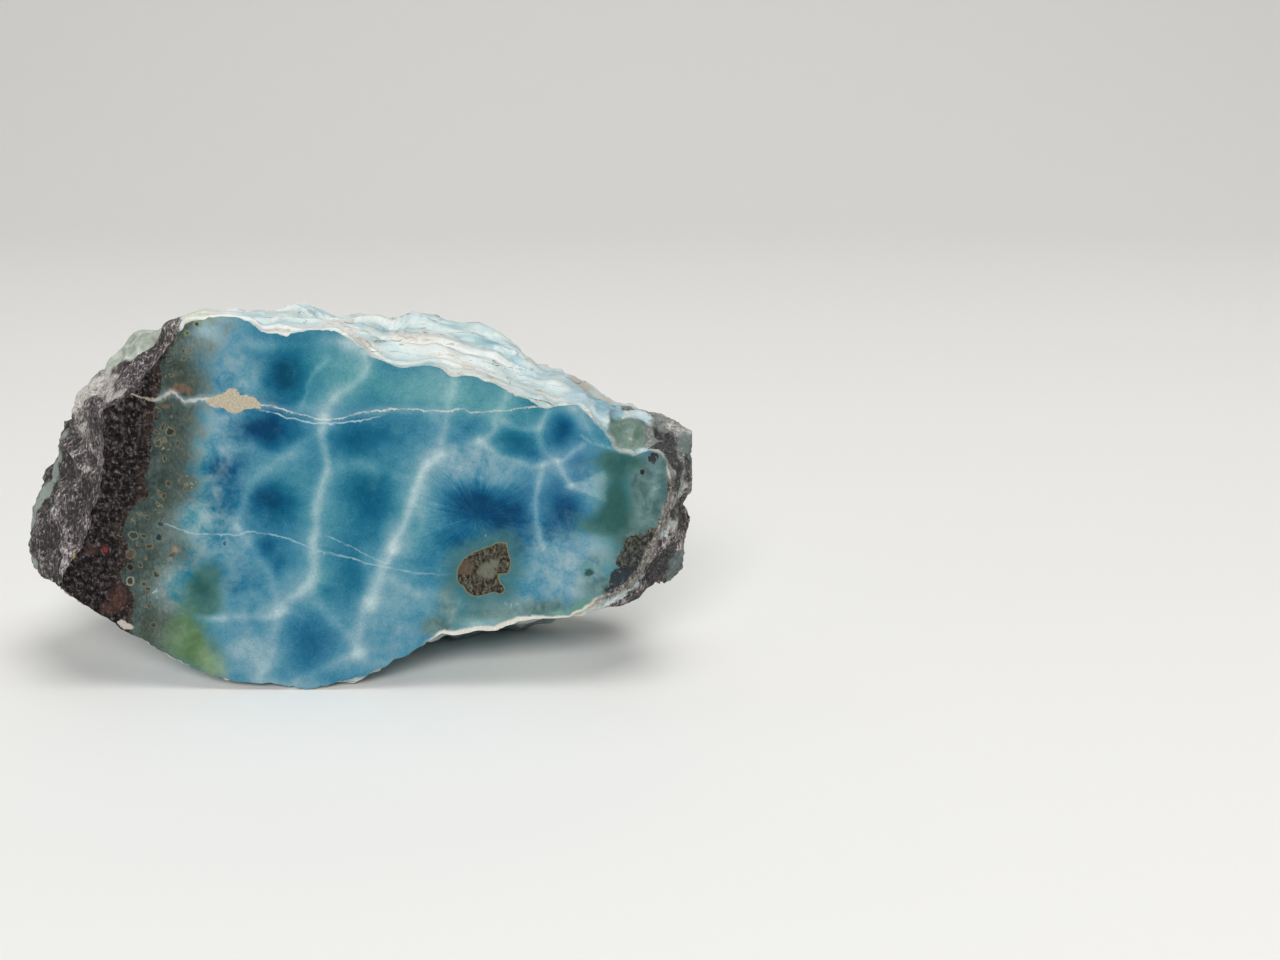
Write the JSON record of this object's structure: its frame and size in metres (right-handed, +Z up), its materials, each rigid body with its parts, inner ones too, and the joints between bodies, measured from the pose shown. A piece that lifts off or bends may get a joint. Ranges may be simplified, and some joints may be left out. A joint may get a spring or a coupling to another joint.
{
  "type": "rough larimar",
  "caption": "Rough larimar stone: a broken lump of blue pectolite in dark basalt, sawn flat on one side, resting on its rough underside.",
  "frame": {"origin": "middle of the bounding box's footprint, on the surface the stone rests on", "axes": "+X along the sawn face, to the right as seen from in front; +Y from the sawn face into the stone; +Z up"},
  "size_m": [0.1176, 0.0474, 0.065],
  "materials": {
    "larimar": "sawn satin face, broken rough skin"
  },
  "bodies": {
    "root": {"larimar_stone": "larimar"}
  },
  "joints": []
}
